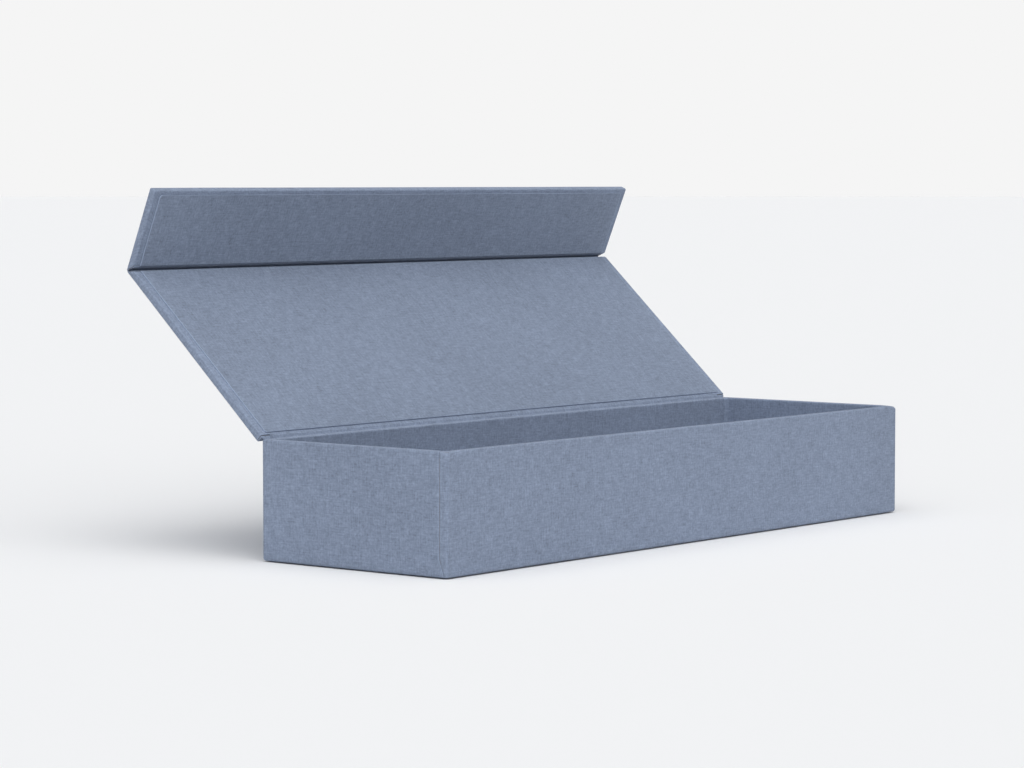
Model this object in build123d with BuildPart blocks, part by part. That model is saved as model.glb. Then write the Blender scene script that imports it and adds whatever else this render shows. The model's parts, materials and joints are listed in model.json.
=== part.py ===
from build123d import *
from math import cos, radians, sin, sqrt, tan
import os

# Cloth-covered archival box: a board tray, a lid hinged on the tray's back wall, and a front flap
# hinged on the lid's far edge. Millimetres. The origin is the centre of the face the box stands on,
# +X runs along the box, +Y points to the lid's hinge, +Z is up. The lid stands open.

# ---- driving dimensions ----
tray_length = 330.0
tray_depth = 98.0
tray_height = 50.0
flap_length = 38.0
board = 2.5
cloth = 0.4
corner_radius = 2.5
inner_corner_radius = 2.3
plate_corner_radius = 1.5
cloth_edge_radius = 1.0
turn_in = 15.0
liner_margin = 3.4
closing_gap = 0.3
lid_opening = 137.6
flap_fold = 70.0
hinge_rise = 0.9
hinge_gap = 0.9
hinge_flange = 2.0
hinge_inset = 4.0
hinge_fold = 0.35
rim_lap = 1.2
# Bends of the two hinge cloths in the gap between the rim and the lid's end, from the hinge line (y, z).
meeting_low = (0.05, -0.8)
meeting_high = (0.45, 0.1)
outer_crease = (0.55, -0.3)
inner_crease_low = (-0.2, -0.55)
inner_crease_high = (0.13, 0.3)
# The fold between lid and flap, and the closure's discs.
groove_clearance = 0.15
groove_lining = 0.2
stay_thickness = 0.15
stay_width = 15.0
magnet_radius = 5.0
magnet_thickness = 1.5
keeper_radius = 6.0
keeper_thickness = 1.0
closure_spacing = 200.0
magnet_inset = 9.0

# ---- worked out from them ----
wall = cloth + board + cloth
plate = wall + cloth
half_length = tray_length / 2
half_depth = tray_depth / 2
front_seam = wall + inner_corner_radius
underside = cloth
base_board_bottom = 2 * cloth
floor_level = base_board_bottom + board
board_top = tray_height - cloth
board_length = tray_length - 2 * cloth
board_depth = tray_depth - 2 * cloth
board_radius = corner_radius - cloth
inner_half_depth = board_depth / 2 - board
wall_board_height = board_top - base_board_bottom
flange_level = tray_height - hinge_flange
hinge_y = half_depth - cloth / 2
hinge_z = tray_height + hinge_rise
strip_half_length = half_length - front_seam
hinge_half_length = half_length - hinge_inset

# Layers of the lid, outwards from its hinge line.
lid_liner_face = closing_gap - hinge_rise
lid_margin_face = lid_liner_face + cloth
lid_board_face = lid_margin_face + cloth
lid_cloth_face = lid_board_face + board
lid_top = lid_cloth_face + cloth

# The fold between lid and flap: its hinge line lies in the middle of the outer cloth.
groove_u = -(hinge_y + half_depth + closing_gap + plate - cloth / 2)
groove_w = lid_top - cloth / 2
board_mitre = groove_clearance + groove_lining

# Layers of the flap, outwards from its own hinge line, and its free end.
flap_top = cloth / 2
flap_cloth_face = -cloth / 2
flap_board_face = flap_cloth_face - board
flap_margin_face = flap_board_face - cloth
flap_liner_face = flap_margin_face - cloth
flap_end = cloth / 2 - flap_length
magnet_u = flap_end + magnet_inset
keeper_z = hinge_z + groove_w + magnet_u


def side_plane(origin, turn):
    """Plane across the box: local x runs from a plate's free end to its hinge, local y points outwards."""
    return Plane(origin=origin, x_dir=(0, cos(radians(turn)), sin(radians(turn))), z_dir=(1, 0, 0))


hinge_plane = side_plane((0, hinge_y, hinge_z), 0)
lid_plane = side_plane((0, hinge_y, hinge_z), -lid_opening)
flap_plane = side_plane(lid_plane.from_local_coords((groove_u, groove_w)), flap_fold - lid_opening)


def lid_mitre(level, offset):
    """Point on the lid's mitred end, at a level outwards and an offset from the mitre plane."""
    return (groove_u + groove_w - level + offset * sqrt(2), level)


def flap_mitre(level, offset):
    """Point on the flap's mitred end, at a level outwards and an offset from the mitre plane."""
    return (level - offset * sqrt(2), level)


def at_lid(along, level):
    """A point of the lid's section, given in the hinge plane."""
    point = hinge_plane.to_local_coords(lid_plane.from_local_coords((along, level)))
    return (point.X, point.Y)


def at_flap(along, level):
    """A point of the flap's section, given in the lid plane."""
    point = lid_plane.to_local_coords(flap_plane.from_local_coords((along, level)))
    return (point.X, point.Y)


def section_bar(plane, points, half_width, mode=Mode.ADD):
    """Extrude a closed section to both sides of its plane, inside the open part."""
    with BuildSketch(plane) as section:
        with BuildLine():
            Polyline(*points, close=True)
        make_face()
    extrude(section.sketch, amount=half_width, both=True, mode=mode)


def slab(x_size, y_low, y_high, z_low, z_high, mode=Mode.ADD):
    """A block centred on the box's length, inside the open part."""
    with BuildSketch(Plane.XY.offset(z_low)) as footprint:
        with Locations((0, (y_low + y_high) / 2)):
            Rectangle(x_size, y_high - y_low)
    extrude(footprint.sketch, amount=z_high - z_low, mode=mode)


def underside_band(side, half_width, mode=Mode.ADD):
    """The mitred band turned under the tray along its front (-1) or its back (1)."""
    outer = side * half_depth
    inner = side * (half_depth - turn_in)
    inner_half_width = half_length - turn_in
    corners = [
        (-half_width, outer),
        (half_width, outer),
        (inner_half_width, inner),
        (-inner_half_width, inner),
    ]
    with BuildSketch(Plane.XY) as footprint:
        with BuildLine():
            Polyline(*corners, close=True)
        make_face()
    extrude(footprint.sketch, amount=base_board_bottom, mode=mode)


def save(builder, name):
    """Label a finished piece and write it."""
    builder.part.label = name
    export_step(builder.part, f"parts/{name}.step")


os.makedirs("parts", exist_ok=True)

# ---- tray boards ----
with BuildPart() as base_board:
    slab(board_length - 2 * board, -inner_half_depth, inner_half_depth, base_board_bottom, floor_level)
save(base_board, "base_board")

with BuildPart() as board_block:
    with BuildSketch(Plane.XY.offset(base_board_bottom)):
        RectangleRounded(board_length, board_depth, board_radius)
    extrude(amount=wall_board_height)
    slab(
        board_length - 2 * board,
        -inner_half_depth,
        inner_half_depth,
        floor_level,
        board_top,
        mode=Mode.SUBTRACT,
    )

with BuildPart() as closure_keepers:
    with BuildSketch(Plane.XZ.offset(half_depth - cloth)):
        with Locations((-closure_spacing / 2, keeper_z), (closure_spacing / 2, keeper_z)):
            Circle(keeper_radius)
    extrude(amount=-keeper_thickness)
save(closure_keepers, "closure_keepers")

with BuildPart() as front_board:
    add(board_block.part)
    slab(board_length, -half_depth, -inner_half_depth, base_board_bottom, board_top, mode=Mode.INTERSECT)
    add(closure_keepers.part, mode=Mode.SUBTRACT)
save(front_board, "front_board")

with BuildPart() as back_board:
    add(board_block.part)
    slab(board_length, inner_half_depth, half_depth, base_board_bottom, board_top, mode=Mode.INTERSECT)
save(back_board, "back_board")

for side, name in ((-1, "left_end_board"), (1, "right_end_board")):
    with BuildPart() as end_board:
        with BuildSketch(Plane.XY.offset(base_board_bottom)):
            with Locations((side * (board_length - board) / 2, 0)):
                Rectangle(board, board_depth - 2 * board)
        extrude(amount=wall_board_height)
    save(end_board, name)

# ---- paper tape round the four corners of the boards ----
with BuildPart() as corner_stays:
    with BuildSketch(Plane.XY.offset(base_board_bottom)):
        RectangleRounded(
            board_length + 2 * stay_thickness,
            board_depth + 2 * stay_thickness,
            board_radius + stay_thickness,
        )
        RectangleRounded(board_length, board_depth, board_radius, mode=Mode.SUBTRACT)
        with GridLocations(tray_length, tray_depth, 2, 2):
            Rectangle(2 * stay_width, 2 * stay_width, mode=Mode.INTERSECT)
    extrude(amount=wall_board_height - hinge_flange)
save(corner_stays, "corner_stays")

# ---- the cloth of the tray, as one shell that the covers are then cut from ----
with BuildPart() as tray_shell:
    with BuildSketch(Plane.XY.offset(underside)):
        RectangleRounded(tray_length, tray_depth, corner_radius)
    extrude(amount=tray_height - underside)
    fillet(tray_shell.edges().group_by(Axis.Z)[0], radius=cloth_edge_radius)
    with BuildSketch(Plane.XY.offset(floor_level)):
        RectangleRounded(tray_length - 2 * wall, tray_depth - 2 * wall, inner_corner_radius)
    extrude(amount=tray_height - floor_level, mode=Mode.SUBTRACT)
    fillet(tray_shell.edges().group_by(Axis.Z)[-1], radius=cloth_edge_radius)
    add(board_block.part, mode=Mode.SUBTRACT)
    add(corner_stays.part, mode=Mode.SUBTRACT)
    slab(
        tray_length - 2 * turn_in,
        turn_in - half_depth,
        half_depth - turn_in,
        underside,
        base_board_bottom,
        mode=Mode.SUBTRACT,
    )

with BuildPart() as front_zone:
    slab(tray_length, -half_depth, front_seam - half_depth, base_board_bottom, tray_height)
    underside_band(-1, half_length)

with BuildPart() as back_zone:
    slab(2 * hinge_half_length, half_depth - cloth, half_depth, base_board_bottom, flange_level)
    underside_band(1, hinge_half_length)

with BuildPart() as back_liner_zone:
    slab(2 * strip_half_length, half_depth - front_seam, half_depth - cloth, floor_level, tray_height)

with BuildPart() as hinge_zone:
    slab(2 * hinge_half_length, half_depth - cloth, half_depth, flange_level, tray_height)
    slab(2 * strip_half_length, hinge_y - rim_lap, half_depth, board_top, tray_height)

with BuildPart() as front_cover:
    add(tray_shell.part)
    add(front_zone.part, mode=Mode.INTERSECT)
save(front_cover, "front_cover")

with BuildPart() as back_cover:
    add(tray_shell.part)
    add(back_zone.part, mode=Mode.INTERSECT)
save(back_cover, "back_cover")

with BuildPart() as back_liner:
    add(tray_shell.part)
    add(back_liner_zone.part, mode=Mode.INTERSECT)
    add(hinge_zone.part, mode=Mode.SUBTRACT)
save(back_liner, "back_liner")

for kept, name in ((Keep.BOTTOM, "left_end_cover"), (Keep.TOP, "right_end_cover")):
    with BuildPart() as end_cover:
        add(tray_shell.part)
        for zone in (front_zone, back_zone, back_liner_zone, hinge_zone):
            add(zone.part, mode=Mode.SUBTRACT)
        split(bisect_by=Plane.YZ, keep=kept)
    save(end_cover, name)

# ---- floor lining and base cover ----
with BuildPart() as floor_liner:
    with BuildSketch(Plane.XY.offset(floor_level)):
        RectangleRounded(tray_length - 2 * wall, tray_depth - 2 * wall, inner_corner_radius)
    extrude(amount=cloth)
save(floor_liner, "floor_liner")

with BuildPart() as base_cover:
    with BuildSketch(Plane.XY):
        RectangleRounded(tray_length - 2 * liner_margin, tray_depth - 2 * liner_margin, plate_corner_radius)
    extrude(amount=underside)
    slab(
        tray_length - 2 * turn_in,
        turn_in - half_depth,
        half_depth - turn_in,
        underside,
        base_board_bottom,
    )
save(base_cover, "base_cover")

# ---- lid ----
with BuildPart() as lid_board:
    lid_board_section = [
        (-hinge_gap, lid_board_face),
        (-hinge_gap, lid_cloth_face),
        lid_mitre(lid_cloth_face, board_mitre),
        lid_mitre(lid_board_face, board_mitre),
    ]
    section_bar(lid_plane, lid_board_section, half_length - cloth)
save(lid_board, "lid_board")

with BuildPart() as lid_cover:
    lid_section = [
        (-hinge_gap, lid_margin_face),
        (-hinge_gap, lid_top),
        lid_mitre(lid_top, board_mitre),
        lid_mitre(lid_margin_face, board_mitre),
    ]
    section_bar(lid_plane, lid_section, half_length)
    fillet(lid_cover.edges().filter_by(Axis((0, 0, 0), lid_plane.x_dir)), radius=cloth_edge_radius)
    add(lid_board.part, mode=Mode.SUBTRACT)
    lid_turn_in_window = [
        (-hinge_gap, lid_margin_face),
        (-hinge_gap, lid_board_face),
        lid_mitre(lid_board_face, board_mitre),
        lid_mitre(lid_margin_face, board_mitre),
    ]
    section_bar(lid_plane, lid_turn_in_window, half_length - turn_in, mode=Mode.SUBTRACT)
save(lid_cover, "lid_cover")

with BuildPart() as lid_liner:
    lid_liner_section = [
        (-hinge_gap - liner_margin, lid_margin_face),
        (-hinge_gap - liner_margin, lid_liner_face),
        lid_mitre(lid_liner_face, groove_clearance),
        lid_mitre(lid_cloth_face - groove_lining, groove_clearance),
        lid_mitre(lid_cloth_face - groove_lining, board_mitre),
        lid_mitre(lid_margin_face, board_mitre),
    ]
    section_bar(lid_plane, lid_liner_section, half_length - liner_margin)
    lid_liner_middle = [
        (-hinge_gap - turn_in, lid_margin_face),
        (-hinge_gap - turn_in, lid_board_face),
        lid_mitre(lid_board_face, board_mitre),
        lid_mitre(lid_margin_face, board_mitre),
    ]
    section_bar(lid_plane, lid_liner_middle, half_length - turn_in)
save(lid_liner, "lid_liner")

# ---- flap ----
with BuildPart() as flap_blank:
    flap_board_section = [
        (flap_end + cloth, flap_board_face),
        (flap_end + cloth, flap_cloth_face),
        flap_mitre(flap_cloth_face, board_mitre),
        flap_mitre(flap_board_face, board_mitre),
    ]
    section_bar(flap_plane, flap_board_section, half_length - cloth)
    blank_corners = flap_blank.edges().filter_by(Axis((0, 0, 0), flap_plane.y_dir))
    fillet(blank_corners.sort_by(Axis((0, 0, 0), flap_plane.x_dir))[:2], radius=plate_corner_radius - cloth)

magnet_seat = Plane(
    origin=flap_plane.from_local_coords((magnet_u, flap_board_face)),
    x_dir=(1, 0, 0),
    z_dir=flap_plane.y_dir,
)
with BuildPart() as flap_magnets:
    with BuildSketch(magnet_seat):
        with Locations((-closure_spacing / 2, 0), (closure_spacing / 2, 0)):
            Circle(magnet_radius)
    extrude(amount=magnet_thickness)
save(flap_magnets, "flap_magnets")

with BuildPart() as flap_board:
    add(flap_blank.part)
    add(flap_magnets.part, mode=Mode.SUBTRACT)
save(flap_board, "flap_board")

with BuildPart() as flap_cover:
    flap_section = [
        (flap_end, flap_margin_face),
        (flap_end, flap_top),
        flap_mitre(flap_top, board_mitre),
        flap_mitre(flap_margin_face, board_mitre),
    ]
    section_bar(flap_plane, flap_section, half_length)
    cover_corners = flap_cover.edges().filter_by(Axis((0, 0, 0), flap_plane.y_dir))
    fillet(cover_corners.sort_by(Axis((0, 0, 0), flap_plane.x_dir))[:2], radius=plate_corner_radius)
    flap_faces = flap_cover.faces().sort_by(Axis((0, 0, 0), flap_plane.y_dir))
    for face in (flap_faces[0], flap_faces[-1]):
        rounded = face.edges().sort_by(Axis((0, 0, 0), flap_plane.x_dir))[:-1]
        fillet(rounded, radius=cloth_edge_radius)
    add(flap_blank.part, mode=Mode.SUBTRACT)
    flap_turn_in_window = [
        (flap_end + turn_in, flap_margin_face),
        (flap_end + turn_in, flap_board_face),
        flap_mitre(flap_board_face, board_mitre),
        flap_mitre(flap_margin_face, board_mitre),
    ]
    section_bar(flap_plane, flap_turn_in_window, half_length - turn_in, mode=Mode.SUBTRACT)
save(flap_cover, "flap_cover")

with BuildPart() as flap_liner:
    flap_liner_section = [
        (flap_end + liner_margin, flap_margin_face),
        (flap_end + liner_margin, flap_liner_face),
        flap_mitre(flap_liner_face, groove_clearance),
        flap_mitre(flap_cloth_face - groove_lining, groove_clearance),
        flap_mitre(flap_cloth_face - groove_lining, board_mitre),
        flap_mitre(flap_margin_face, board_mitre),
    ]
    section_bar(flap_plane, flap_liner_section, half_length - liner_margin)
    section_bar(flap_plane, flap_turn_in_window, half_length - turn_in)
save(flap_liner, "flap_liner")

# ---- hinge cloths, in the shape they take with the lid standing open ----
fold_reach = cloth / 2 * tan(radians(flap_fold / 2))
with BuildPart() as flap_hinge_cloth:
    flap_hinge_section = [
        lid_mitre(lid_cloth_face, board_mitre),
        lid_mitre(lid_top, board_mitre),
        (groove_u - fold_reach, lid_top),
        at_flap(*flap_mitre(flap_top, board_mitre)),
        at_flap(*flap_mitre(flap_cloth_face, board_mitre)),
        (groove_u + fold_reach, lid_cloth_face),
    ]
    section_bar(lid_plane, flap_hinge_section, half_length - cloth_edge_radius)
save(flap_hinge_cloth, "flap_hinge_cloth")

# The two hinge cloths meet back to back in the gap between the rim and the lid's end.
rim_edge = (-cloth / 2, -hinge_rise - cloth)
lid_edge = at_lid(-hinge_gap, lid_board_face)
meeting_line = [lid_edge, meeting_high, meeting_low, rim_edge]

with BuildPart() as lid_hinge_cloth:
    lid_hinge_section = [
        (-cloth / 2, -hinge_rise - hinge_flange),
        (cloth / 2, -hinge_rise - hinge_flange),
        (cloth / 2, -hinge_rise - hinge_fold),
        outer_crease,
        at_lid(hinge_fold - hinge_gap, lid_top),
        at_lid(-hinge_gap, lid_top),
        *meeting_line,
    ]
    section_bar(hinge_plane, lid_hinge_section, hinge_half_length)
save(lid_hinge_cloth, "lid_hinge_cloth")

with BuildPart() as lid_hinge_strip:
    free_strip_section = [
        (-rim_lap, -hinge_rise - cloth),
        *reversed(meeting_line),
        at_lid(-hinge_gap, lid_margin_face),
        inner_crease_high,
        inner_crease_low,
        (-cloth, -hinge_rise),
        (-rim_lap, -hinge_rise),
    ]
    section_bar(hinge_plane, free_strip_section, strip_half_length)
    glued_strip_section = [
        (-hinge_gap, lid_margin_face),
        (-hinge_gap, lid_board_face),
        (-hinge_gap - turn_in, lid_board_face),
        (-hinge_gap - turn_in, lid_margin_face),
    ]
    section_bar(lid_plane, glued_strip_section, half_length - turn_in)
save(lid_hinge_strip, "lid_hinge_strip")

print("lid hinge axis at", (0, hinge_y, hinge_z))
print("flap hinge axis at", lid_plane.from_local_coords((groove_u, groove_w)))
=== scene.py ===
import json

from math import cos, degrees, exp, hypot, pi, radians, sin, sqrt, tan

import bmesh
import bpy
from mathutils import Euler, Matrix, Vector, noise


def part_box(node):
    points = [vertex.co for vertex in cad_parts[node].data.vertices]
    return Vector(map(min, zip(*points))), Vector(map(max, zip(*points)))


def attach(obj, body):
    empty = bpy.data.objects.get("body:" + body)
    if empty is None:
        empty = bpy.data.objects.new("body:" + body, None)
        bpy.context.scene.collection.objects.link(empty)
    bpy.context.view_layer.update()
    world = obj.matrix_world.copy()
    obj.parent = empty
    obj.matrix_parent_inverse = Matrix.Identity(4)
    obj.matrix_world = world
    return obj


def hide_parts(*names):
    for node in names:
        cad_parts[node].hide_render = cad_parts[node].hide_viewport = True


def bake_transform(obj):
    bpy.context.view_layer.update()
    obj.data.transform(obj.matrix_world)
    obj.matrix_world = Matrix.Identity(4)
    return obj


# Archival box with a hinged lid and a front flap, covered and lined with blue-grey book cloth.
# Metres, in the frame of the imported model: +X along the box, +Y to the lid's hinge, +Z up.

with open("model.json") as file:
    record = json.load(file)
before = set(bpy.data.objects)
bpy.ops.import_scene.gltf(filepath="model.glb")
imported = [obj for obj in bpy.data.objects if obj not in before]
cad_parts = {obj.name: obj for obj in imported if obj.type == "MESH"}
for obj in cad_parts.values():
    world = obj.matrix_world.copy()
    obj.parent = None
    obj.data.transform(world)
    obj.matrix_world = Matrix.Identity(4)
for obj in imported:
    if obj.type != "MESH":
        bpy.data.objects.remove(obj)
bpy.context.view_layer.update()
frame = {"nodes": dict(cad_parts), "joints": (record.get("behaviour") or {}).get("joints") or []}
scene = bpy.context.scene

# ---- sizes read from the frame ----
cover_low, cover_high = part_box("front_cover")
floor_low, floor_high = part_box("floor_liner")
base_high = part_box("base_cover")[1]
strip_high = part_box("lid_hinge_strip")[1]
joints = {joint["name"]: joint for joint in frame["joints"]}
lid_hinge = Vector(joints["lid_hinge"]["pos_m"])
flap_hinge = Vector(joints["flap_hinge"]["pos_m"])
lid_opening = -radians(joints["lid_hinge"]["range_deg"][0])
flap_fold = radians(joints["flap_hinge"]["range_deg"][1])

half_length = cover_high.x
half_depth = -cover_low.y
rim_level = cover_high.z
floor_level = floor_low.z
cloth = floor_high.z - floor_low.z
wall = half_length - floor_high.x
board = wall - 2 * cloth
liner_margin = half_length - base_high.x
strip_half_length = strip_high.x

# ---- how the cloth is cut, folded and glued ----
# Corners and folds.
corner_radius = 0.0016
inner_corner_radius = 0.0023
plate_corner_radius = 0.0015
flap_corner_radius = 0.0006
mitred_radius = 0.00001
fold_radius = 0.0006
foot_radius = 0.0012

# Where each cloth ends.
turn_in = 0.015
front_seam = 0.0037
seam_bend = 0.0050
flap_length = 0.038
flap_margin = 0.0020
rim_lap = 0.0012
seam_gap = 0.00012

# The lid's hinge, and the mitred fold between lid and flap.
hinge_flange = 0.0020
hinge_gap = 0.0009
hinge_margin = 0.0011
hinge_fold = 0.00035
closing_gap = 0.0003
mitre_clearance = 0.00015
mitre_lining = 0.0002
mitre_foot_gap = 0.00006
mitre_rounding = mitre_lining / 5

# Unevenness: glued faces ripple, linings sink past the turn-ins, and cloth gathers at the front corners.
ripple = 0.00012
ripple_size = 0.045
turn_in_step = 0.00006
corner_dip = 0.0002
corner_dip_reach = 0.006
corner_dip_start = 0.875 * rim_level
corner_bulk = 0.0010
corner_bulk_reach = 0.003
corner_bulk_fade = 1.5 * corner_bulk

# A cut edge is rounded by three rows of points. The middle one is this share of the radius in and down.
cut_radius = 0.00010
cut_middle = 0.3
cut_rows = 3

# The tray's foot, where its cloth turns under.
under_level = cloth
foot_top = under_level + foot_radius

# Levels through the lid and the flap, outwards, the middle of the fold between them, and the flap's free end.
hinge_rise = lid_hinge.z - rim_level
lid_liner_face = closing_gap - hinge_rise
lid_margin_face = lid_liner_face + cloth
lid_board_face = lid_margin_face + cloth
lid_cloth_face = lid_board_face + board
lid_top = lid_cloth_face + cloth
fold_level = lid_top - cloth / 2
fold_along = -(lid_hinge.y + half_depth + closing_gap + wall + cloth / 2)
board_mitre = mitre_clearance + mitre_lining
flap_top = cloth / 2
flap_cloth_face = flap_top - cloth
flap_board_face = flap_cloth_face - board
flap_margin_face = flap_board_face - cloth
flap_liner_face = flap_margin_face - cloth
flap_end = flap_top - flap_length

# ---- mesh resolution ----
panel_step = 0.006
support_step = 0.0006
arc_steps = 5
merge_distance = 0.00002

# Points nearer than same_place are one point. A cross product below smallest_cross has no direction.
same_place = 1e-7
smallest_cross = 1e-14


# ---- section frames: points given as (x, along, level) ----
def section(origin, turn):
    """Placer for a plate: along runs to its hinge, level points out of the box."""
    along_dir = Vector((0, cos(turn), sin(turn)))
    out_dir = Vector((0, -sin(turn), cos(turn)))

    def place(x, along, level):
        return origin + Vector((x, 0, 0)) + along * along_dir + level * out_dir

    return place


on_floor = section(Vector((0, 0, 0)), 0)
on_hinge = section(lid_hinge, 0)
on_lid = section(lid_hinge, -lid_opening)
on_flap = section(flap_hinge, flap_fold - lid_opening)


def lid_mitre(level, offset):
    """Point of the lid's mitred end, at a level and an offset from the mitre plane."""
    return (fold_along + fold_level - level + offset * sqrt(2), level)


def flap_mitre(level, offset):
    """Point of the flap's mitred end, at a level and an offset from the mitre plane."""
    return (level - offset * sqrt(2), level)


def from_hinge(point):
    """A point of the frame as (along, level) from the lid's hinge line."""
    return (point.y - lid_hinge.y, point.z - lid_hinge.z)


def from_fold(point):
    """A point of the frame as (along, level) in the lid's section."""
    along_dir = on_lid(0, 1, 0) - on_lid(0, 0, 0)
    out_dir = on_lid(0, 0, 1) - on_lid(0, 0, 0)
    return ((point - lid_hinge).dot(along_dir), (point - lid_hinge).dot(out_dir))


# ---- outlines ----
def arc(centre, radius, start, end, steps=arc_steps):
    """Points of an arc in a plane, from one angle to another, in degrees."""
    turns = [radians(start + (end - start) * i / steps) for i in range(steps + 1)]
    return [(centre[0] + radius * cos(turn), centre[1] + radius * sin(turn)) for turn in turns]


def run(start, end, step=panel_step):
    """Numbers from start to end, evenly spaced, with a close one beside each end."""
    length = abs(end - start)
    way = 1 if end > start else -1
    if length < 4 * support_step:
        return [start, end]
    count = max(1, round((length - 2 * support_step) / step))
    inner = [support_step + (length - 2 * support_step) * i / count for i in range(count + 1)]
    return [start] + [start + way * x for x in inner] + [end]


def shares(length, step=panel_step):
    """The same spacing as shares of a length, from 0 to 1."""
    return [x / length for x in run(0, length, step)]


def joined(*chains):
    """Chains of points put end to end, without repeated points."""
    line = []
    for chain in chains:
        for point in chain:
            if not line or max(abs(a - b) for a, b in zip(point, line[-1])) > same_place:
                line.append(point)
    return line


def softened(outline, radius, side_share=0.4):
    """A closed outline with rounded corners. A corner takes at most side_share of each of its sides."""
    points = [Vector(p) for p in outline]
    line = []
    for i, point in enumerate(points):
        before = points[i - 1] - point
        after = points[(i + 1) % len(points)] - point
        half_angle = before.angle(after) / 2
        reach = min(radius / tan(half_angle), side_share * before.length, side_share * after.length)
        start = point + before.normalized() * reach
        end = point + after.normalized() * reach
        for k in range(arc_steps):
            t = k / (arc_steps - 1)
            line.append(tuple((1 - t) ** 2 * start + 2 * t * (1 - t) * point + t * t * end))
    return line


def travelled(points):
    """Distance along a chain of points, starting at zero."""
    total = [0.0]
    for last, point in zip(points, points[1:]):
        total.append(total[-1] + (Vector(point) - Vector(last)).length)
    return total


def eased(share):
    """Smooth step from 0 to 1."""
    t = min(max(share, 0.0), 1.0)
    return t * t * (3 - 2 * t)


# ---- cloth shells: grids of nodes (x, y, z, flat u, flat v, thickness) ----
def node(point, u, v, thickness=cloth):
    """One node of a cloth grid."""
    return Vector((*point, u, v, thickness))


def point_of(item):
    """The point of a grid's node."""
    return Vector(item[:3])


def with_cut_edge(rows, largest_share=0.8):
    """The grid with its first row drawn back by the seam's gap and two rows close to it."""
    added = []
    for distance in (0.0, cut_middle * cut_radius, cut_radius):
        row = []
        for edge, inner in zip(rows[0], rows[1]):
            width = (point_of(inner) - point_of(edge)).length
            share = (seam_gap + distance) / width if width > merge_distance else 0.0
            row.append(edge.lerp(inner, min(share, largest_share)))
        added.append(row)
    return added + rows[1:]


def edged(rows):
    """The grid with a cut edge on its four sides."""
    for _ in range(4):
        rows = with_cut_edge(rows)
        rows = [list(row) for row in zip(*rows[::-1])]
    return rows


def grid_normals(rows, flip):
    """Outward directions of a grid, taken from its neighbouring nodes."""
    normals = []
    last = Vector((0, 0, 1))
    for i, row in enumerate(rows):
        normals.append([])
        above = rows[min(i + 1, len(rows) - 1)]
        below = rows[max(i - 1, 0)]
        for j in range(len(row)):
            across = point_of(row[min(j + 1, len(row) - 1)]) - point_of(row[max(j - 1, 0)])
            upward = point_of(above[j]) - point_of(below[j])
            normal = across.cross(upward)
            if normal.length > smallest_cross:
                last = normal.normalized() * (-1 if flip else 1)
            normals[-1].append(last)
    return normals


def edge_drop(rows_in):
    """How far a row lies below the surface, by its count of rows in from a cut edge."""
    return cut_radius * {0: 1.0, 1: cut_middle}.get(rows_in, 0.0)


def mapped_face(work, cloth_map, flat, corners):
    """A face whose corners have their places in the flat cloth."""
    made = work.faces.new(corners)
    for loop in made.loops:
        loop[cloth_map].uv = flat[loop.vert]


def cloth_shell(name, rows, lift=ripple, flip=False):
    """Closed mesh of glued cloth from a grid of its outer face."""
    rows = edged(rows)
    normals = grid_normals(rows, flip)
    work = bmesh.new()
    cloth_map = work.loops.layers.uv.new("cloth")
    cut_edge = work.verts.layers.float.new("cut_edge")
    flat = {}
    layers = ([], [])
    for i, row in enumerate(rows):
        for layer in layers:
            layer.append([])
        for j, item in enumerate(row):
            place = point_of(item)
            u, v, thickness = item[3:]
            rows_in = min(i, j, len(rows) - 1 - i, len(row) - 1 - j)
            swell = lift * (0.5 + 0.5 * noise.noise(place / ripple_size))
            outer = work.verts.new(place + normals[i][j] * (swell - edge_drop(rows_in)))
            inner = work.verts.new(place - normals[i][j] * thickness)
            for vertex, layer in zip((outer, inner), layers):
                # Rows near a cut edge are marked for the material, which pales them partly as a painted
                # highlight.
                vertex[cut_edge] = float(rows_in < cut_rows)
                flat[vertex] = (u, v)
                layer[-1].append(vertex)

    def face(*corners):
        mapped_face(work, cloth_map, flat, corners)

    last_row = len(rows) - 1
    last_column = len(rows[0]) - 1
    for layer in layers:
        for i in range(last_row):
            for j in range(last_column):
                face(layer[i][j], layer[i][j + 1], layer[i + 1][j + 1], layer[i + 1][j])
    outer, inner = layers
    for i in range(last_row):
        for j in (0, last_column):
            face(outer[i][j], outer[i + 1][j], inner[i + 1][j], inner[i][j])
    for j in range(last_column):
        for i in (0, last_row):
            face(outer[i][j], outer[i][j + 1], inner[i][j + 1], inner[i][j])
    return closed_mesh(name, work)


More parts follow.
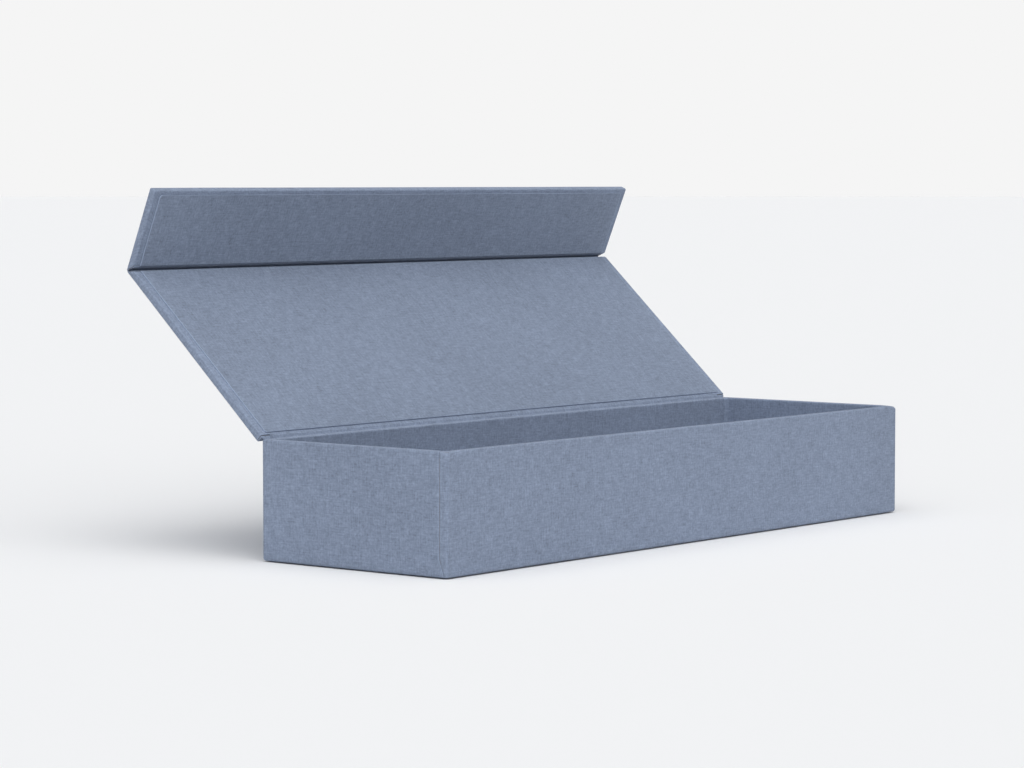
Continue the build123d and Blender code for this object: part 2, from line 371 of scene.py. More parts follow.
def cloth_bar(name, place, outline, half_widths, rounding=cut_radius):
    """Closed mesh of a narrow cloth strip: its section (along, level), and its half width at each point."""
    points = [Vector(p) for p in outline]
    around = travelled(points + points[:1])
    count = len(points)
    inward = []
    area = sum(point.cross(after) for point, after in zip(points, points[1:] + points[:1]))
    for i in range(count):
        side = (points[(i + 1) % count] - points[i - 1]).normalized()
        inward.append(Vector((-side.y, side.x)) * (1 if area > 0 else -1))
    stations = [2 * share - 1 for share in shares(2 * max(half_widths), 2 * panel_step)]
    ends = [(0.0, 1.0), (cut_middle, cut_middle), (1.0, 0.0)]
    cuts = [(-1, back, inset) for back, inset in ends]
    cuts += [(share, 0.0, 0.0) for share in stations[1:-1]]
    cuts += [(1, back, inset) for back, inset in reversed(ends)]
    work = bmesh.new()
    cloth_map = work.loops.layers.uv.new("cloth")
    flat = {}
    rings = []
    for share, back, inset in cuts:
        ring = []
        for i, point in enumerate(points):
            x = share * (half_widths[i] - back * rounding)
            vertex = work.verts.new(place(x, *(point + inward[i] * inset * rounding)))
            flat[vertex] = (x, around[i])
            ring.append(vertex)
        rings.append(ring)
    for low, high in zip(rings, rings[1:]):
        for i in range(count):
            k = (i + 1) % count
            mapped_face(work, cloth_map, flat, (low[i], low[k], high[k], high[i]))
    for ring in (rings[0], rings[-1]):
        mapped_face(work, cloth_map, flat, ring)
    return closed_mesh(name, work)


def closed_mesh(name, work):
    """Mesh from closed bmesh work, with no doubled points and its faces turned outwards."""
    bmesh.ops.remove_doubles(work, verts=work.verts, dist=merge_distance)
    bmesh.ops.recalc_face_normals(work, faces=work.faces)
    mesh = bpy.data.meshes.new(name)
    work.to_mesh(mesh)
    work.free()
    mesh.shade_smooth()
    return mesh


def new_piece(mesh, material, stands_for):
    """Show a mesh as a piece that stands for its CAD nodes."""
    piece = bpy.data.objects.new(mesh.name, mesh)
    scene.collection.objects.link(piece)
    mesh.materials.append(material)
    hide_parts(*stands_for)
    return piece


# ---- the tray's cloth: a profile (depth in from the outside, height) carried round the outline ----
# Each side and each corner counts as one place, and the front side is 0 to 1.
places_round = 8
half_corner = 0.5
# The end cloths' columns follow their slanted edge up to this place.
seam_settled = 2.08


def outline_radius(depth, height):
    """Radius of the outline's corners, drawn in by depth."""
    if height < foot_top:
        return max(corner_radius - depth, mitred_radius)
    return corner_radius + (inner_corner_radius - corner_radius) * depth / wall


def outline_point(place, depth, height):
    """Point (x, y) at a place round the tray: each side and each corner counts one, the front is 0 to 1."""
    radius = outline_radius(depth, height)
    half_x = half_length - depth - radius
    half_y = half_depth - depth - radius
    signs = ((1, -1), (1, 1), (-1, 1), (-1, -1))
    corners = [Vector((side_x * half_x, side_y * half_y)) for side_x, side_y in signs]
    quarter = int(place // 2) % 4
    share = place % 2
    centre = corners[quarter - 1].lerp(corners[quarter], min(share, 1))
    turn = radians(90 * (quarter - 1 + max(share - 1, 0)))
    return (centre.x + radius * cos(turn), centre.y + radius * sin(turn))


def pushed(distance, bulk):
    """A distance from the rim's outer edge, with a fold made larger by bulk."""
    within = min(distance / fold_radius, 1)
    beyond = max(distance - fold_radius, 0)
    return distance + bulk * within * exp(-beyond / corner_bulk_fade)


def tray_point(place, depth, height):
    """Point of the tray's cloth. The rim is lower and rounder at the front corners, where cloth gathers."""
    x, y = outline_point(place, depth, height)
    away = hypot(half_length - abs(x), half_depth + y)
    bulk = corner_bulk * exp(-((away / corner_bulk_reach) ** 2))
    x, y = outline_point(place, pushed(depth, bulk) if height > foot_top else depth, height)
    upper_share = (height - corner_dip_start) / (rim_level - corner_dip_start)
    dip = corner_dip * exp(-((away / corner_dip_reach) ** 2)) * eased(upper_share)
    return Vector((x, y, rim_level - pushed(rim_level - height, bulk) - dip))


def way_round(place):
    """Distance round the outside of the tray to a place."""
    sides = [2 * (half_length - corner_radius), 2 * (half_depth - corner_radius)]
    corner = corner_radius * pi / 2
    lengths = [sides[0], corner, sides[1], corner]
    whole = int(place + places_round)
    passed = sum(lengths[k % len(lengths)] for k in range(whole))
    return passed + (place + places_round - whole) * lengths[whole % len(lengths)]


def seam_place(depth, height):
    """Where the front cloth ends on the right end wall: it turns towards the corner at the foot."""
    if height <= foot_top:
        return 2 - half_corner * min(depth / foot_radius, 1)
    half_y = half_depth - depth - outline_radius(depth, height)
    straight = max(front_seam - half_depth + half_y, 0) / (2 * half_y)
    return 2 + straight * eased((height - foot_top) / seam_bend)


foot_profile = joined(
    [(depth, under_level) for depth in run(turn_in, foot_radius)],
    arc((foot_radius, foot_top), foot_radius, 270, 180),
)
outer_profile = joined(foot_profile, [(0, height) for height in run(foot_top, rim_level - fold_radius)])
rim_profile = joined(
    arc((fold_radius, rim_level - fold_radius), fold_radius, 180, 90),
    [(depth, rim_level) for depth in run(fold_radius, wall - fold_radius)],
    arc((wall - fold_radius, rim_level - fold_radius), fold_radius, 90, 0),
)
inner_profile = [(wall, height) for height in run(rim_level - fold_radius, floor_level)]
full_profile = joined(outer_profile, rim_profile, inner_profile)
back_profile = joined(foot_profile, [(0, height) for height in run(foot_top, rim_level - hinge_flange)])


def tray_cloth(name, profile, places):
    """Cloth on the tray's walls. places gives the columns at a depth and height."""
    heights = travelled(profile)
    rows = []
    for (depth, height), v in zip(profile, heights):
        row = []
        for place in places(depth, height):
            row.append(node(tray_point(place, depth, height), way_round(place), v))
        rows.append(row)
    return cloth_shell(name, rows)


def front_places(depth, height):
    """Columns of the front cloth: from its left return, along the front, to its right return."""
    steps = 2 * arc_steps
    right = [1 + (seam_place(depth, height) - 1) * k / steps for k in range(1, steps + 1)]
    left = [1 - place for place in reversed(right)]
    return left + shares(2 * half_length) + right


def right_end_places(depth, height):
    """Columns of the right end cloth: from the seam to just round the back corner."""
    start = seam_place(depth, height)
    first = [start + (seam_settled - start) * k / arc_steps for k in range(arc_steps)]
    middle = [seam_settled + (3 - seam_settled) * share for share in shares(2 * half_depth)]
    corner = [3 + k / arc_steps for k in range(1, arc_steps + 1)]
    return first + middle + corner


def left_end_places(depth, height):
    """Columns of the left end cloth, which mirrors the right one."""
    return [places_round + 1 - place for place in reversed(right_end_places(depth, height))]


def back_places(depth, height):
    """Columns between the two back corners."""
    return [4 + share for share in shares(2 * half_length)]


# ---- flat panels of lining: rows along the panel, each as wide as its rounded corners leave it ----
quarter_turns = [pi / 2 * k / arc_steps for k in range(arc_steps + 1)]


def rounded_end(end, inward, radius):
    """Places from a panel's end, and how far its sides are drawn in there by its rounded corners."""
    return [(end + inward * radius * (1 - cos(turn)), radius * (1 - sin(turn))) for turn in quarter_turns]


def panel_lengths(start, end, start_radius, end_radius):
    """Places along a panel, each with how far its sides are drawn in there."""
    way = 1 if end > start else -1
    first = rounded_end(start, way, start_radius)
    middle = run(start + way * start_radius, end - way * end_radius)
    last = rounded_end(end, -way, end_radius)
    return joined(first, [(along, 0.0) for along in middle], last[::-1])


def lining(name, on_plate, chain, half_width, flip=False, sunk=None):
    """A glued lining. chain holds (along, level, side inset, thickness); sunk lowers it past the turn-ins."""
    heights = travelled([(along, level) for along, level, inset, thickness in chain])
    across = [2 * share - 1 for share in shares(2 * half_width)]
    rows = []
    for (along, level, inset, thickness), v in zip(chain, heights):
        row = []
        for share in across:
            x = share * (half_width - inset)
            lowered = sunk(x, along) if sunk else 0.0
            row.append(node(on_plate(x, along, level + lowered), x, v, thickness))
        rows.append(row)
    return cloth_shell(name, rows, flip=flip)


def past_turn_in(distance):
    """How far a lining sinks at a distance inside the edge of its board."""
    return turn_in_step * eased((distance - turn_in) / support_step + 0.5)


# ---- covers of the two plates: cloth wrapped round the edges and turned in ----
plate_edge = joined(
    [(depth, 0.0) for depth in run(turn_in, fold_radius)],
    arc((fold_radius, fold_radius), fold_radius, 270, 180),
    arc((fold_radius, wall - fold_radius), fold_radius, 180, 90),
)


def lid_cover_mesh():
    """The lid's outer cloth, wrapped round its two short sides and turned in."""
    left = [(depth - half_length, lid_margin_face + level) for depth, level in plate_edge]
    outer = [(x, lid_top) for x in run(fold_radius - half_length, half_length - fold_radius)]
    right = [(-x, level) for x, level in reversed(left)]
    profile = joined(left, outer, right)
    rows = []
    for (x, level), u in zip(profile, travelled(profile)):
        end = lid_mitre(level, board_mitre)[0]
        length = -hinge_gap - end
        row = []
        for share in shares(length):
            along = -hinge_gap - share * length
            row.append(node(on_lid(x, along, level), u, along))
        rows.append(row)
    return cloth_shell("cloth_lid", rows)


def flap_outline_point(place, depth, level):
    """Point round the flap's three free sides, from its left mitred end (0) to its right one (5)."""
    radius = max(flap_corner_radius - depth, mitred_radius)
    half_x = half_length - depth - radius
    free = flap_end + depth + radius
    mitre = flap_mitre(level, board_mitre)[0]
    if place <= 1:
        return (-half_x - radius, mitre + (free - mitre) * place)
    if place >= 4:
        return (half_x + radius, free + (mitre - free) * (place - 4))
    if 2 <= place <= 3:
        return (-half_x + 2 * half_x * (place - 2), free - radius)
    side = -1 if place < 2 else 1
    turn = radians(90 + 90 * place) if place < 2 else radians(90 * place)
    return (side * half_x + radius * cos(turn), free + radius * sin(turn))


def flap_cover_mesh():
    """The flap's outer cloth, wrapped round its three free sides and turned in."""
    deepest = flap_mitre(flap_top, board_mitre)[0] - flap_end - mitred_radius
    edge = [(depth, flap_margin_face + level) for depth, level in plate_edge]
    profile = joined(edge, [(depth, flap_top) for depth in run(fold_radius, deepest)])
    leg = shares(flap_length)
    corner = [k / arc_steps for k in range(1, arc_steps)]
    places = leg + [1 + k for k in corner] + [2 + k for k in shares(2 * half_length)]
    places += [3 + k for k in corner] + [4 + k for k in leg]
    wrapped = travelled(edge)[-1]
    rows = []
    for (depth, level), distance in zip(profile, travelled(profile)):
        row = []
        for place in places:
            x, along = flap_outline_point(place, depth, level)
            flat = Vector((x, along))
            if distance < wrapped:
                flat = Vector(flap_outline_point(place, fold_radius, flap_top))
                brink = Vector(flap_outline_point(place, 0.0, flap_top))
                flat += (brink - flat).normalized() * (wrapped - distance)
            row.append(node(on_flap(x, along, level), *flat))
        rows.append(row)
    return cloth_shell("cloth_flap", rows)


def mitre_turn_in_mesh(name, on_plate, mitre, margin_face, cloth_face, side):
    """Cloth turned in over the mitred end of a plate's board, beside the lining."""
    half_width = (liner_margin - cloth) / 2 - seam_gap
    centre = side * (half_length - liner_margin / 2 - cloth / 2)
    outline = [
        mitre(margin_face, mitre_clearance),
        mitre(cloth_face - mitre_foot_gap, mitre_clearance),
        mitre(cloth_face - mitre_foot_gap, board_mitre),
        mitre(margin_face, board_mitre),
    ]

    def on_end(x, along, level):
        return on_plate(centre + x, along, level)

    return cloth_bar(name, on_end, outline, [half_width] * len(outline), mitre_rounding)


# ---- the linings' chains ----
def lid_lining_mesh():
    """The lid's lining, which runs over the fold's edge and down its mitred side."""
    start = -hinge_gap - hinge_margin
    end = lid_mitre(lid_liner_face, mitre_clearance)[0]
    flat = panel_lengths(start, end + support_step, hinge_margin, 0.0)
    chain = [(along, lid_liner_face, inset, cloth) for along, inset in flat]
    foot = lid_mitre(lid_cloth_face - mitre_foot_gap, mitre_clearance)
    bend = softened([(start, lid_liner_face), (end, lid_liner_face), foot], mitre_clearance)
    chain += [(along, level, 0.0, mitre_lining) for along, level in bend[arc_steps : 2 * arc_steps]]
    chain.append((*foot, 0.0, mitre_lining))

    def sunk(x, along):
        sides = past_turn_in(half_length - abs(x))
        return min(sides, past_turn_in(-hinge_gap - along)) * eased((along - end) / fold_radius)

    return lining("lining_lid", on_lid, chain, half_length - liner_margin, sunk=sunk)


def flap_lining_mesh():
    """The flap's lining, which also runs down its mitred side."""
    start = flap_end + flap_margin
    end = flap_mitre(flap_liner_face, mitre_clearance)[0]
    flat = panel_lengths(start, end - support_step, plate_corner_radius, 0.0)
    chain = [(along, flap_liner_face, inset, cloth) for along, inset in flat]
    foot = flap_mitre(flap_cloth_face - mitre_foot_gap, mitre_clearance)
    bend = softened([(start, flap_liner_face), (end, flap_liner_face), foot], mitre_clearance)
    chain += [(along, level, 0.0, mitre_lining) for along, level in bend[arc_steps : 2 * arc_steps]]
    chain.append((*foot, 0.0, mitre_lining))

    def sunk(x, along):
        sides = past_turn_in(half_length - abs(x))
        return min(sides, past_turn_in(along - flap_end)) * eased((end - along) / fold_radius)

    return lining("lining_flap", on_flap, chain, half_length - liner_margin, flip=True, sunk=sunk)


def floor_lining_mesh():
    """The sheet on the tray's floor."""
    reach = half_depth - wall
    flat = panel_lengths(-reach, reach, inner_corner_radius, inner_corner_radius)
    chain = [(along, floor_level + cloth, inset, cloth) for along, inset in flat]
    return lining("lining_floor", on_floor, chain, half_length - wall)


def base_cover_mesh():
    """The sheet under the tray, which the box stands on."""
    reach = half_depth - liner_margin
    flat = panel_lengths(-reach, reach, plate_corner_radius, plate_corner_radius)
    chain = [(along, 0.0, inset, cloth) for along, inset in flat]
    heights = travelled([item[:2] for item in chain])
    half_width = half_length - liner_margin
    rows = []
    for (along, level, inset, thickness), v in zip(chain, heights):
        across = [(2 * share - 1) * (half_width - inset) for share in shares(2 * half_width)]
        rows.append([node(on_floor(x, along, level), x, v, thickness) for x in across])
    return cloth_shell("cloth_base", rows, lift=0.0, flip=True)


# ---- hinge strips, in the shape they take with the lid standing open ----
# Points as (along, level) from the hinge line. The bend runs from the tray's side of the crease to the lid's.
bend_start = (-0.00044, -0.00033)
bend_end = (0.00067, 0.00050)
meeting_low = (0.00005, -0.0008)
meeting_high = (0.00045, 0.0001)
outer_crease = (0.00055, -0.0003)
inner_crease_low = (-0.0002, -0.00055)
inner_crease_high = (0.00013, 0.0003)
rim_edge = (-cloth / 2, -hinge_rise - cloth)


def lid_in_hinge(along, level):
    """A point of the lid's section as (along, level) from the hinge line."""
    return from_hinge(on_lid(0, along, level))


meeting_line = [lid_in_hinge(-hinge_gap, lid_board_face), meeting_high, meeting_low, rim_edge]


def lid_hinge_mesh():
    """The outer cloth between the back wall and the lid, folded inwards while the lid is open."""
    outline = [
        (-cloth / 2, -hinge_rise - hinge_flange),
        (cloth / 2, -hinge_rise - hinge_flange),
        (cloth / 2, -hinge_rise - hinge_fold),
        outer_crease,
        lid_in_hinge(hinge_fold - hinge_gap, lid_top),
        lid_in_hinge(-hinge_gap, lid_top),
        *meeting_line,
    ]
    outline = softened(outline, hinge_fold)
    wall_reach = half_length - corner_radius
    lid_reach = half_length - hinge_fold
    widths = []
    for y, z in outline:
        lid_share = eased((y + z + hinge_rise) / hinge_rise)
        widths.append(wall_reach + (lid_reach - wall_reach) * lid_share)
    return cloth_bar("cloth_lid_hinge", on_hinge, outline, widths)


def lid_hinge_strip_mesh():
    """The inner strip from the rim to the lid, and its part that shows on the lid's margin."""
    glued_end = -hinge_gap - turn_in
    outline = [
        (-rim_lap, -hinge_rise - cloth),
        *reversed(meeting_line),
        lid_in_hinge(glued_end, lid_board_face),
        lid_in_hinge(glued_end, lid_margin_face),
        lid_in_hinge(-hinge_gap, lid_margin_face),
        inner_crease_high,
        inner_crease_low,
        (-cloth, -hinge_rise),
        (-rim_lap, -hinge_rise),
    ]
    outline = softened(outline, hinge_fold)
    glued_reach = half_length - turn_in - seam_gap
    widths = []
    for y, z in outline:
        up_lid = z * sin(lid_opening) - y * cos(lid_opening)
        widths.append(glued_reach if up_lid > hinge_gap + seam_gap else strip_half_length)
    return cloth_bar("lining_lid_hinge", on_hinge, outline, widths)


def flap_hinge_mesh():
    """The outer cloth round the fold between lid and flap."""
    reach = cloth / 2 * tan(flap_fold / 2)
    flap_outer = from_fold(on_flap(0, *flap_mitre(flap_top, board_mitre)))
    flap_inner = from_fold(on_flap(0, *flap_mitre(flap_cloth_face, board_mitre)))
    fold_arc = arc((fold_along, fold_level), cloth / 2, 90, 90 + degrees(flap_fold))
    outline = [
        lid_mitre(lid_cloth_face, board_mitre),
        lid_mitre(lid_top, board_mitre),
        *fold_arc,
        flap_outer,
        flap_inner,
        (fold_along + reach, lid_cloth_face),
    ]
    return cloth_bar("cloth_flap_hinge", on_lid, outline, [half_length - fold_radius] * len(outline))


# ---- materials ----
class Nodes:
    """Short calls for a material's node tree."""

    def __init__(self, name):
        self.material = bpy.data.materials.new(name)
        self.material.use_nodes = True
        self.tree = self.material.node_tree
        self.shader = self.tree.nodes["Principled BSDF"]

    def add(self, kind, values=None, **settings):
        """A node with its settings, its inputs' values and its linked inputs."""
        made = self.tree.nodes.new(kind)
        for key, value in settings.items():
            setattr(made, key, value)
        for key, value in (values or {}).items():
            if isinstance(value, bpy.types.NodeSocket):
                self.tree.links.new(value, made.inputs[key])
            else:
                made.inputs[key].default_value = value
        return made

    def maths(self, operation, first, second=0.0, third=0.0):
        """One sum."""
        return self.add("ShaderNodeMath", {0: first, 1: second, 2: third}, operation=operation).outputs[0]

    def noise(self, place, scale, detail=2.0, roughness=0.5):
        """Fractal noise from 0 to 1."""
        values = {"Vector": place, "Scale": scale, "Detail": detail, "Roughness": roughness}
        return self.add("ShaderNodeTexNoise", values).outputs["Fac"]

    def stretched(self, place, across, along):
        """A place scaled by two numbers, for noise drawn out along a thread or a fibre."""
        scale = (across, along, 1.0)
        return self.add("ShaderNodeVectorMath", {0: place, 1: scale}, operation="MULTIPLY").outputs[0]

    def mix(self, share, dark, light):
        """A colour between two."""
        return self.add("ShaderNodeMix", {0: share, 6: dark, 7: light}, data_type="RGBA").outputs[2]

    def ramp(self, value, given, wanted=(0.0, 1.0)):
        """A number carried from a given range to a wanted one, and held at its ends."""
        values = {"Value": value, 1: given[0], 2: given[1], 3: wanted[0], 4: wanted[1]}
        return self.add("ShaderNodeMapRange", values).outputs[0]

    def finish(self, colour, roughness, height, depth, strength, constants):
        """Join colour, roughness and bump to the shader, and set its constant values."""
        bump = self.add("ShaderNodeBump", {"Height": height, "Distance": depth, "Strength": strength})
        self.tree.links.new(colour, self.shader.inputs["Base Color"])
        self.tree.links.new(roughness, self.shader.inputs["Roughness"])
        self.tree.links.new(bump.outputs[0], self.shader.inputs["Normal"])
        for key, value in constants.items():
            self.shader.inputs[key].default_value = value
        return self.material


def scaled(colour, share):
    """A colour made lighter or darker."""
    return (*[part * share for part in colour], 1.0)


# Sizes in the cloth, and the share of each pattern in its tone.
thread_pitch = 0.00052
thread_wander = 2.4 * thread_pitch
slub_length = 0.0060
fleck_size = 0.0011
mottle_size = 0.0045
shade_size = 0.06
slub_share = 0.45
fleck_share = 0.35
mottle_share = 0.12
shade_share = 0.08
weave_share = 0.10

# The tone's range and contrast, how far convex folds and edges are paled (partly wear, partly a painted
# highlight), and how pale they and the cut edges can get.
tone_range = (0.40, 0.70)
cloth_contrast = 0.74
wear_and_highlight_range = (0.52, 0.60)
wear_and_highlight_paleness = 0.45
palest = 1.5
cloth_roughness = (0.82, 0.94)
weave_relief = 0.5
cloth_sheen = {"Specular IOR Level": 0.22, "Sheen Weight": 0.10, "Sheen Roughness": 0.5}


def book_cloth(name, colour, edge_paleness_and_highlight):
    """Matt plain-woven cloth with slubs, flecks, slow shading, folds paled as wear and painted highlight, and
    cut edges paled as their own colour and painted highlight.
    """
    nodes = Nodes(name)
    flat = nodes.add("ShaderNodeUVMap", uv_map="cloth").outputs[0]
    drift = nodes.maths("MULTIPLY", nodes.noise(flat, 1 / mottle_size), thread_wander)
    place = nodes.add("ShaderNodeVectorMath", {0: flat, 1: drift}, operation="ADD").outputs[0]
    axes = nodes.add("ShaderNodeSeparateXYZ", {0: place})
    warp = nodes.maths("SINE", nodes.maths("MULTIPLY", axes.outputs[0], 2 * pi / thread_pitch))
    weft = nodes.maths("SINE", nodes.maths("MULTIPLY", axes.outputs[1], 2 * pi / thread_pitch))
    weave = nodes.ramp(nodes.maths("MULTIPLY", warp, weft), (-1.0, 1.0))
    warp_slubs = nodes.noise(nodes.stretched(flat, 1 / thread_pitch, 1 / slub_length), 1.0)
    weft_slubs = nodes.noise(nodes.stretched(flat, 1 / slub_length, 1 / thread_pitch), 1.0)
    slubs = nodes.maths("MULTIPLY", nodes.maths("ADD", warp_slubs, weft_slubs), 0.5)
    flecks = nodes.noise(flat, 1 / fleck_size, detail=3.0, roughness=0.6)
    mottle = nodes.noise(flat, 1 / mottle_size)
    shade = nodes.noise(flat, 1 / shade_size, detail=1.0)

    threads = nodes.maths("MULTIPLY", slubs, slub_share)
    patterns = ((flecks, fleck_share), (mottle, mottle_share), (shade, shade_share), (weave, weave_share))
    for pattern, share in patterns:
        threads = nodes.maths("MULTIPLY_ADD", pattern, share, threads)
    dark = scaled(colour, 1 - cloth_contrast / 2)
    light = scaled(colour, 1 + cloth_contrast / 2)
    thread_colour = nodes.mix(nodes.ramp(threads, tone_range), dark, light)

    # Painted highlight: convex folds and edges are paled by pointiness, partly as wear and partly as the
    # light that would catch them.
    pointiness = nodes.add("ShaderNodeNewGeometry").outputs["Pointiness"]
    cut = nodes.add("ShaderNodeAttribute", attribute_name="cut_edge").outputs["Fac"]
    wear_and_highlight = nodes.ramp(pointiness, wear_and_highlight_range, (0.0, wear_and_highlight_paleness))
    # Rows at cut edges are paled too, partly as the cut cloth's own paler colour and partly as a painted
    # highlight.
    pale = nodes.maths("MULTIPLY_ADD", cut, edge_paleness_and_highlight, wear_and_highlight)
    cloth_colour = nodes.mix(pale, thread_colour, scaled(colour, palest))
    roughness = nodes.ramp(threads, tone_range, cloth_roughness)
    height = nodes.maths("MULTIPLY_ADD", weave, weave_relief, slubs)
    return nodes.finish(cloth_colour, roughness, height, depth=0.00010, strength=0.45, constants=cloth_sheen)


def fibre_board(name, colour):
    """Grey millboard: short crossed fibres, dark specks and a soft surface."""
    nodes = Nodes(name)
    place = nodes.add("ShaderNodeTexCoord").outputs["Object"]
    fibres = nodes.noise(place, 1500.0, detail=4.0, roughness=0.65)
    patches = nodes.noise(place, 90.0)
    specks = nodes.ramp(nodes.noise(place, 2600.0, detail=1.0), (0.68, 0.74), (0.0, 0.5))
    fibre_share = 0.65
    tone = nodes.maths("MULTIPLY_ADD", patches, 1 - fibre_share, nodes.maths("MULTIPLY", fibres, fibre_share))
    fibre_colour = nodes.mix(nodes.ramp(tone, (0.35, 0.65)), scaled(colour, 0.78), scaled(colour, 1.18))
    board_colour = nodes.mix(specks, fibre_colour, scaled(colour, 0.35))
    roughness = nodes.ramp(tone, (0.3, 0.7), (0.8, 0.95))
    matt = {"Specular IOR Level": 0.2}
    return nodes.finish(board_colour, roughness, fibres, depth=0.00008, strength=0.5, constants=matt)


def kraft_paper(name, colour):
    """Gummed paper tape: faint fibres three times as long up the corner as across, and a slight cockle."""
    nodes = Nodes(name)
    place = nodes.add("ShaderNodeTexCoord").outputs["Object"]
    fibres = nodes.noise(nodes.stretched(place, 3.0, 3.0), 400.0, detail=4.0, roughness=0.6)
    cockle = nodes.noise(place, 120.0, detail=1.0)
    paper_colour = nodes.mix(nodes.ramp(fibres, (0.35, 0.65)), scaled(colour, 0.8), scaled(colour, 1.15))
    cockle_share = 0.6
    height = nodes.maths("MULTIPLY_ADD", cockle, cockle_share, fibres)
    roughness = nodes.ramp(fibres, (0.3, 0.7), (0.6, 0.8))
    matt = {"Specular IOR Level": 0.3}
    return nodes.finish(paper_colour, roughness, height, depth=0.00006, strength=0.4, constants=matt)


def plated_metal(name, colour, roughness, grain):
    """Plated disc: fine drawn grain, small stains and a broken gloss."""
    nodes = Nodes(name)
    place = nodes.add("ShaderNodeTexCoord").outputs["Object"]
    lines = nodes.noise(nodes.stretched(place, 1.0, 1 / grain), 900.0, detail=3.0)
    stains = nodes.noise(place, 240.0, detail=3.0)
    metal_colour = nodes.mix(nodes.ramp(stains, (0.4, 0.7)), scaled(colour, 0.86), scaled(colour, 1.05))
    gloss = nodes.ramp(lines, (0.3, 0.7), (0.8 * roughness, 1.3 * roughness))
    metal = {"Metallic": 1.0}
    return nodes.finish(metal_colour, gloss, lines, depth=0.00002, strength=0.25, constants=metal)


# The last argument sets how far each cloth's cut edges are paled: partly their own paler colour, partly a
# painted highlight.
cover_cloth = book_cloth("cover_cloth", (0.217, 0.263, 0.357), edge_paleness_and_highlight=0.1)
lining_cloth = book_cloth("lining_cloth", (0.207, 0.250, 0.335), edge_paleness_and_highlight=0.9)
greyboard = fibre_board("greyboard", (0.215, 0.205, 0.190))
stay_paper = kraft_paper("stay_paper", (0.52, 0.39, 0.25))
keeper_steel = plated_metal("keeper_steel", (0.60, 0.61, 0.62), roughness=0.38, grain=0.2)
magnet_plating = plated_metal("magnet_plating", (0.66, 0.65, 0.62), roughness=0.16, grain=1.0)

cad_materials = {
    "board": greyboard,
    "stays": stay_paper,
    "keepers": keeper_steel,
    "magnets": magnet_plating,
}
for name, cad_node in frame["nodes"].items():
    kind = name.rsplit("_", 1)[-1]
    if kind in cad_materials:
        cad_node.data.materials.clear()
        cad_node.data.materials.append(cad_materials[kind])

# ---- the pieces that replace the CAD's cloths ----
back_lining_profile = joined(
    [(depth, rim_level) for depth in run(cloth / 2 + rim_lap, wall - fold_radius)],
    rim_profile[-arc_steps - 1 :],
    inner_profile,
)
tray_pieces = [
    (tray_cloth("cloth_front", full_profile, front_places), "front_cover", ["front_board"]),
    (tray_cloth("cloth_left_end", full_profile, left_end_places), "left_end_cover", ["left_end_board"]),
    (tray_cloth("cloth_right_end", full_profile, right_end_places), "right_end_cover", ["right_end_board"]),
    (tray_cloth("cloth_back", back_profile, back_places), "back_cover", ["back_board"]),
    (tray_cloth("lining_back", back_lining_profile, back_places), "back_liner", ["back_board"]),
    (base_cover_mesh(), "base_cover", ["base_board"]),
]
for mesh, cad_name, boards in tray_pieces:
    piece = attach(new_piece(mesh, cover_cloth, [cad_name]), "tray")
floor_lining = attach(new_piece(floor_lining_mesh(), lining_cloth, ["floor_liner"]), "tray")

lid_and_flap = [
    ("lid", lid_cover_mesh(), lid_lining_mesh(), on_lid, lid_mitre, lid_margin_face, lid_cloth_face),
    ("flap", flap_cover_mesh(), flap_lining_mesh(), on_flap, flap_mitre, flap_margin_face, flap_cloth_face),
]
for body, cover, inside, on_plate, mitre, margin_face, cloth_face in lid_and_flap:
    cover_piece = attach(new_piece(cover, cover_cloth, [f"{body}_cover"]), body)
    lining_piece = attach(new_piece(inside, lining_cloth, [f"{body}_liner"]), body)
    for end, side in (("left", -1), ("right", 1)):
        name = f"turn_in_{body}_{end}"
        mesh = mitre_turn_in_mesh(name, on_plate, mitre, margin_face, cloth_face, side)
        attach(new_piece(mesh, cover_cloth, [f"{body}_cover"]), body)

lid_hinge_cloth = new_piece(lid_hinge_mesh(), cover_cloth, ["lid_hinge_cloth"])
lid_hinge_strip = new_piece(lid_hinge_strip_mesh(), cover_cloth, ["lid_hinge_strip"])
for piece in (lid_hinge_cloth, lid_hinge_strip):
    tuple(on_hinge(0, *bend_start))
    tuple(on_hinge(0, *bend_end))
    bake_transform(piece)

flap_hinge_cloth = new_piece(flap_hinge_mesh(), cover_cloth, ["flap_hinge_cloth"])
across_fold = pi + flap_fold / 2
fold_across = Vector((cos(across_fold), sin(across_fold))) * cloth / 2 * sin(flap_fold / 2)
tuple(on_lid(0, fold_along - fold_across.x, fold_level - fold_across.y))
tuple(on_lid(0, fold_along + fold_across.x, fold_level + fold_across.y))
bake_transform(flap_hinge_cloth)

# ---- stage, light and camera ----
floor_radius = 30.0
floor_sides = 96
floor_drop = 0.00012
floor_finish = {"Base Color": (0.86, 0.86, 0.86, 1.0), "Roughness": 0.9, "Specular IOR Level": 0.0}
backdrop = (0.913, 0.913, 0.913, 1.0)
ambient_colour = (0.95, 0.99, 1.06, 1.0)
ambient = 0.25

# Each lamp's azimuth, elevation, strength and spread, with the angles in degrees.
# Azimuth 0 shines from the front and 90 from the right.
lights = {
    "key": (-28, 44, 1.27, 80),
    "fill": (-72, 45, 0.85, 90),
    "top": (0, 85, 1.01, 80),
}

# The camera's place in metres, its angles in degrees, and its lens and sensor in millimetres.
camera_place = (-1.1318, -0.8505, 0.1552)
camera_heading = 51.50
camera_drop = 3.59
camera_lens = 114.0
sensor_width = 36.0


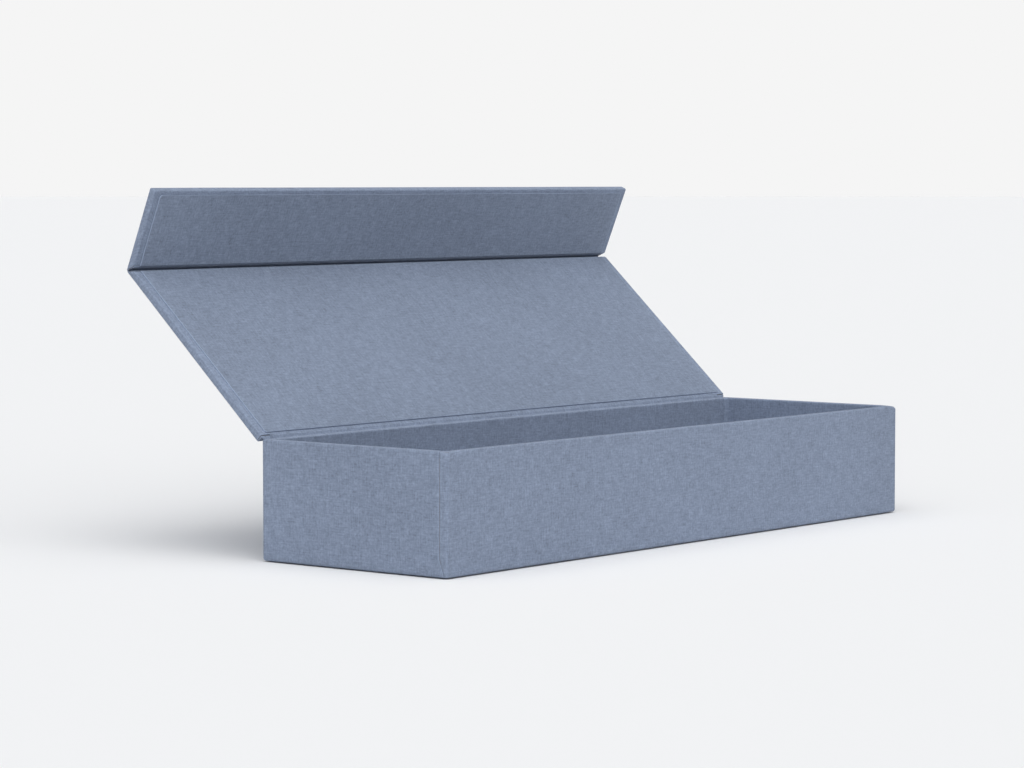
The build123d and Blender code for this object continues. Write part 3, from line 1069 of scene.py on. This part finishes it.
def pale_floor():
    """A wide plain floor, just under the box."""
    mesh = bpy.data.meshes.new("floor")
    work = bmesh.new()
    bmesh.ops.create_circle(work, cap_ends=True, radius=floor_radius, segments=floor_sides)
    bmesh.ops.translate(work, verts=work.verts, vec=(0, 0, -floor_drop))
    work.to_mesh(mesh)
    work.free()
    nodes = Nodes("floor")
    for key, value in floor_finish.items():
        nodes.shader.inputs[key].default_value = value
    mesh.materials.append(nodes.material)
    floor = bpy.data.objects.new("floor", mesh)
    scene.collection.objects.link(floor)


def soft_world():
    """Even light from all round, and a plain backdrop where the camera looks past the floor."""
    world = bpy.data.worlds.new("studio")
    world.use_nodes = True
    tree = world.node_tree
    light = tree.nodes["Background"]
    light.inputs["Color"].default_value = ambient_colour
    light.inputs["Strength"].default_value = ambient
    seen = tree.nodes.new("ShaderNodeBackground")
    seen.inputs["Color"].default_value = backdrop
    choice = tree.nodes.new("ShaderNodeMixShader")
    path = tree.nodes.new("ShaderNodeLightPath")
    tree.links.new(path.outputs["Is Camera Ray"], choice.inputs[0])
    tree.links.new(light.outputs[0], choice.inputs[1])
    tree.links.new(seen.outputs[0], choice.inputs[2])
    tree.links.new(choice.outputs[0], tree.nodes["World Output"].inputs[0])
    scene.world = world


def soft_sun(name, azimuth, elevation, strength, spread):
    """A large soft lamp, far away."""
    data = bpy.data.lights.new(name, "SUN")
    data.energy = strength
    data.angle = radians(spread)
    lamp = bpy.data.objects.new(name, data)
    turn = radians(azimuth)
    rise = radians(elevation)
    source = Vector((sin(turn) * cos(rise), -cos(turn) * cos(rise), sin(rise)))
    lamp.rotation_euler = source.to_track_quat("Z", "Y").to_euler()
    scene.collection.objects.link(lamp)


pale_floor()
soft_world()
for name, settings in lights.items():
    soft_sun(name, *settings)

camera_data = bpy.data.cameras.new("camera")
camera_data.lens = camera_lens
camera_data.sensor_width = sensor_width
camera = bpy.data.objects.new("camera", camera_data)
camera.location = camera_place
camera.rotation_euler = Euler((radians(90 - camera_drop), 0, -radians(camera_heading)))
scene.collection.objects.link(camera)
scene.camera = camera
scene.view_settings.view_transform = "Standard"
